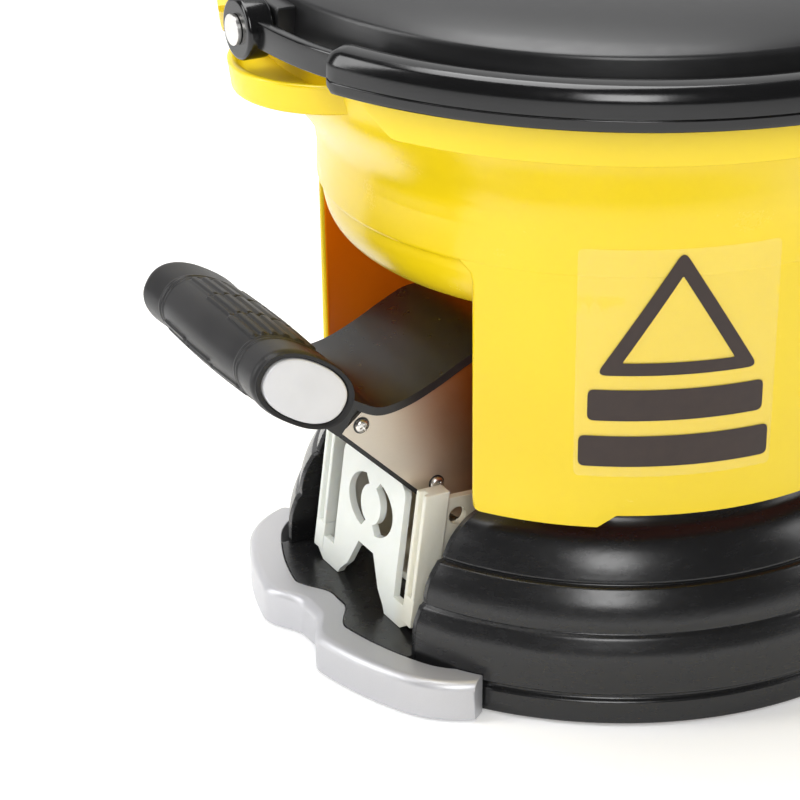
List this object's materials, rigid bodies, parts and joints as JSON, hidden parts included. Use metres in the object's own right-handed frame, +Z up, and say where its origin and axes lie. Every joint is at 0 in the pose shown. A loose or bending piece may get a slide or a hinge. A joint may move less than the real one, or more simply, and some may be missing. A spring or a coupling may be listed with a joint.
{
  "type": "mop bucket with pedal wringer",
  "caption": "Round pedal-driven mop bucket: ribbed base, flared tank, splash guard, toe bumper, foot pedal, and a geared spinning basket that wrings the mop; folding bail handle.",
  "frame": {"origin": "on the floor, on the basket's spin axis, in the middle of the centre foot's underside", "axes": "+Z up along the spin axis; the foot pedal points to -X; the bail handle lies folded round the -Y side"},
  "size_m": [0.4182, 0.3848, 0.338],
  "materials": {
    "yellow_plastic": "moulded polypropylene, satin gloss",
    "black_plastic": "moulded black plastic, satin gloss",
    "black_rubber": "matte moulded rubber",
    "silver_plastic": "silver-grey satin",
    "zinc_steel": "zinc-plated sheet with a fine grain",
    "natural_nylon": "unpigmented nylon, slightly milky",
    "steel": "plain bright steel",
    "label_film": "thin clear film with a plain dark sign"
  },
  "bodies": {
    "base": {"base_shell": "black_plastic", "pedal_well": "black_plastic", "base_pan": "zinc_steel", "centre_foot": "black_rubber", "foot_1": "black_rubber", "foot_2": "black_rubber", "foot_3": "black_rubber", "foot_4": "black_rubber", "toe_bumper": "silver_plastic", "bucket_body": "yellow_plastic", "splash_guard": "black_plastic", "guide_bracket": "natural_nylon", "pedal_shaft": "steel", "shaft_clip_near": "steel", "shaft_clip_far": "steel", "return_spring": "steel", "lower_plate": "zinc_steel", "upper_plate": "zinc_steel", "frame_post_1": "steel", "frame_post_2": "steel", "frame_post_3": "steel", "frame_post_4": "steel", "lay_shaft": "steel", "thrust_bearing": "natural_nylon", "upper_bearing": "steel", "rack_channel": "natural_nylon", "rack_rail": "natural_nylon", "shaft_seal": "black_rubber", "label_panel": "label_film", "bail_pin_front": "steel", "bail_pin_rear": "steel"},
    "pedal": {"pedal_arm": "black_plastic", "cheek_near": "zinc_steel", "cheek_far": "zinc_steel", "pedal_grip": "black_rubber", "grip_cap_near": "silver_plastic", "grip_cap_far": "silver_plastic", "cheek_screw_near_1": "steel", "cheek_screw_near_2": "steel", "cheek_screw_near_3": "steel", "cheek_screw_far_1": "steel", "cheek_screw_far_2": "steel", "cheek_screw_far_3": "steel", "pivot_bush_near": "natural_nylon", "pivot_bush_far": "natural_nylon", "pedal_crank": "zinc_steel"},
    "rack": {"drive_rack": "natural_nylon"},
    "compound": {"compound_gear": "natural_nylon"},
    "pinion": {"clutch_pinion": "steel"},
    "basket": {"wringer_basket": "black_plastic", "spin_shaft": "steel", "basket_hub": "steel", "basket_nut": "steel", "clutch_ratchet": "steel"},
    "bail": {"bail_strap": "black_plastic", "bail_grip": "black_plastic"}
  },
  "joints": [
    {"name": "pedal_hinge", "type": "hinge", "parent": "base", "child": "pedal", "pos_m": [-0.06, 0, 0.07], "axis": [0, -1, 0], "range_deg": [0, 35], "stiffness_Nm_per_rad": 1.5, "springref_deg": -34.38},
    {"name": "rack_slide", "type": "slide", "parent": "base", "child": "rack", "axis": [1, 0, 0], "range_m": [0, 0.0207]},
    {"name": "compound_spin", "type": "hinge", "parent": "base", "child": "compound", "pos_m": [0.03398, 0.0339, 0.045], "axis": [0, 0, 1], "range_deg": [0, 119]},
    {"name": "pinion_spin", "type": "hinge", "parent": "base", "child": "pinion", "pos_m": [0, 0, 0.045], "axis": [0, 0, 1], "range_deg": [-450, 0]},
    {"name": "basket_spin", "type": "hinge", "parent": "base", "child": "basket", "pos_m": [0, 0, 0.2], "axis": [0, 0, 1], "continuous": true},
    {"name": "bail_fold", "type": "hinge", "parent": "base", "child": "bail", "pos_m": [0, 0, 0.311], "axis": [-1, 0, 0], "range_deg": [0, 180]}
  ],
  "couplings": [
    {"joint": "rack_slide", "follows": "pedal_hinge", "m_per_rad": 0.0338},
    {"joint": "compound_spin", "follows": "pedal_hinge", "ratio": 3.38},
    {"joint": "pinion_spin", "follows": "pedal_hinge", "ratio": -12.844}
  ]
}
